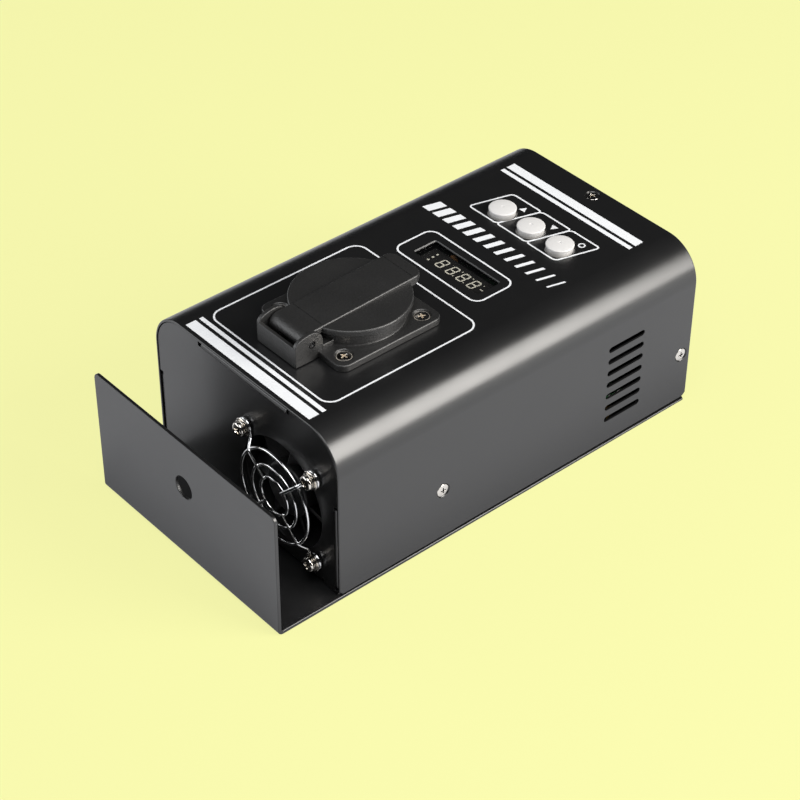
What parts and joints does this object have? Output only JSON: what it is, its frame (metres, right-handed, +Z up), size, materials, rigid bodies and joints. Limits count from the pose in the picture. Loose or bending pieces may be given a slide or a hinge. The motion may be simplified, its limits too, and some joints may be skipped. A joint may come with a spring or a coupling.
{
  "type": "dimmer pack",
  "caption": "Folded steel dimmer case with a sprung-lid mains outlet, display and push-buttons on top, a guarded fan and hanging bracket at one end and connectors at the other.",
  "frame": {"origin": "centre of the underside of the bounding box", "axes": "+X from the hanging bracket and fan end to the connector end, +Z up, the side with the fan nearer to it faces -Y"},
  "size_m": [0.2252, 0.11, 0.0881],
  "materials": {
    "black_paint": "fine satin powder coat",
    "screw_steel": "bright nickel plate",
    "zinc": "zinc plate",
    "fan_plastic": "satin",
    "chrome": "bright chrome plate",
    "outlet_plastic": "fine grained",
    "nickel": "satin nickel",
    "brass": "bright",
    "smoked_pane": "smoked clear",
    "display_face": "satin with pale unlit segments",
    "board": "solder mask",
    "black_plastic": "satin",
    "button_white": "satin white",
    "heat_sink_metal": "extruded",
    "winding": "enamelled copper",
    "core_steel": "laminated",
    "sleeve_blue": "shrink sleeve",
    "terminal_green": "moulded"
  },
  "bodies": {
    "housing": {"top_cover": "black_paint", "base_chassis": "black_paint", "side_screw_1": "screw_steel", "side_screw_2": "screw_steel", "side_screw_3": "screw_steel", "side_screw_4": "screw_steel", "top_screw": "screw_steel", "side_tab_1": "zinc", "side_tab_2": "zinc", "fan_end_wall": "black_paint", "fan_frame": "fan_plastic", "fan_guard": "chrome", "fan_screw_1": "screw_steel", "fan_screw_2": "screw_steel", "fan_screw_3": "screw_steel", "fan_screw_4": "screw_steel", "outlet_body": "outlet_plastic", "lid_pin": "nickel", "lid_spring": "nickel", "outlet_screw_1": "screw_steel", "outlet_screw_2": "screw_steel", "outlet_screw_3": "screw_steel", "outlet_screw_4": "screw_steel", "earth_clip_1": "nickel", "earth_clip_2": "nickel", "contact_sleeve_1": "brass", "contact_sleeve_2": "brass", "display_window": "smoked_pane", "led_display": "display_face", "control_board": "board", "control_post_1": "zinc", "control_post_2": "zinc", "control_post_3": "zinc", "control_post_4": "zinc", "tact_switch_1": "black_plastic", "tact_switch_2": "black_plastic", "tact_switch_3": "black_plastic", "main_board": "board", "board_standoff_1": "brass", "board_standoff_2": "brass", "board_standoff_3": "brass", "board_standoff_4": "brass", "heat_sink": "heat_sink_metal", "triac": "black_plastic", "filter_choke": "winding", "transformer": "core_steel", "capacitor": "sleeve_blue", "terminal_block": "terminal_green", "connector_end_wall": "black_paint", "power_inlet": "black_plastic", "fuse_holder": "black_plastic", "signal_in": "nickel", "signal_out": "nickel"},
    "lid": {"outlet_lid": "outlet_plastic"},
    "rotor": {"fan_rotor": "fan_plastic"},
    "button_1": {"button_cap_1": "button_white"},
    "button_2": {"button_cap_2": "button_white"},
    "button_3": {"button_cap_3": "button_white"},
    "cap": {"fuse_cap": "black_plastic"},
    "latch": {"signal_latch": "nickel"}
  },
  "joints": [
    {"name": "lid_hinge", "type": "hinge", "parent": "housing", "child": "lid", "pos_m": [-0.05945, 0, 0.0825], "axis": [0, -1, 0], "range_deg": [0, 110], "stiffness_Nm_per_rad": 0.02, "springref_deg": -34.38},
    {"name": "fan_spin", "type": "hinge", "parent": "housing", "child": "rotor", "pos_m": [-0.0763, -0.0215, 0.0313], "axis": [1, 0, 0], "continuous": true},
    {"name": "button_press_1", "type": "slide", "parent": "housing", "child": "button_1", "axis": [0, 0, -1], "range_m": [0, 0.0005], "stiffness_N_per_m": 400, "springref_m": -0.001},
    {"name": "button_press_2", "type": "slide", "parent": "housing", "child": "button_2", "axis": [0, 0, -1], "range_m": [0, 0.0005], "stiffness_N_per_m": 400, "springref_m": -0.001},
    {"name": "button_press_3", "type": "slide", "parent": "housing", "child": "button_3", "axis": [0, 0, -1], "range_m": [0, 0.0005], "stiffness_N_per_m": 400, "springref_m": -0.001},
    {"name": "fuse_cap_turn", "type": "hinge", "parent": "housing", "child": "cap", "pos_m": [0.1065, -0.03, 0.0215], "axis": [1, 0, 0], "range_deg": [0, 60]},
    {"name": "latch_press", "type": "slide", "parent": "housing", "child": "latch", "axis": [0, 0, -1], "range_m": [0, 0.0012], "stiffness_N_per_m": 400, "springref_m": -0.001}
  ]
}
